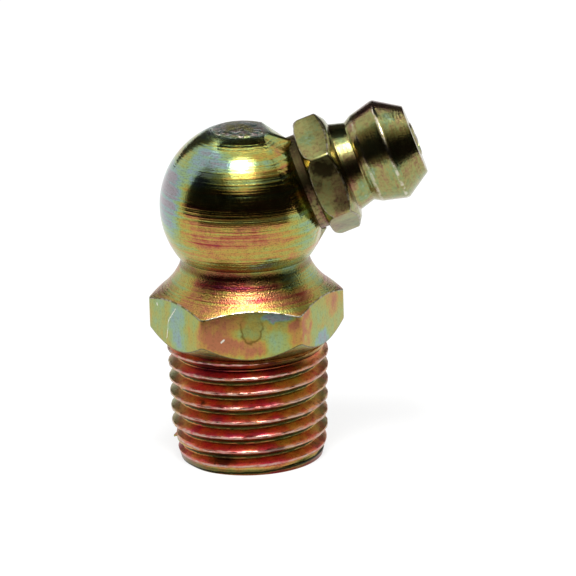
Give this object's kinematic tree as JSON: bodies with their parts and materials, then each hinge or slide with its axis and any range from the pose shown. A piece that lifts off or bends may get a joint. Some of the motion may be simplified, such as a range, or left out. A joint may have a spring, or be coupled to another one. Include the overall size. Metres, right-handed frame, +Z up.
{
  "type": "angled grease nipple",
  "caption": "Angled steel grease nipple: ball-ended hex body on a taper threaded shank, with a coupler head and a sprung check ball set into its side.",
  "frame": {"origin": "centre of the threaded shank's end face", "axes": "+Z up the shank towards the ball, +X towards the side the coupler head leans to"},
  "size_m": [0.0182, 0.011, 0.0233],
  "materials": {
    "chromate_bright": "turned steel, zinc plated and yellow chromated, iridescent",
    "chromate_dull": "steel, zinc plated and yellow chromated, duller olive",
    "ball_steel": "hardened and polished bearing steel",
    "spring_steel": "drawn spring wire"
  },
  "bodies": {
    "fitting": {"angle_body": "chromate_bright", "nipple_head": "chromate_dull", "check_spring": "spring_steel"},
    "valve": {"check_ball": "ball_steel"}
  },
  "joints": [
    {"name": "ball_lift", "type": "slide", "parent": "fitting", "child": "valve", "axis": [-0.9391, 0, -0.3437], "range_m": [0, 0.0009], "stiffness_N_per_m": 940, "springref_m": -0.0005, "deforming": ["check_spring"]}
  ]
}
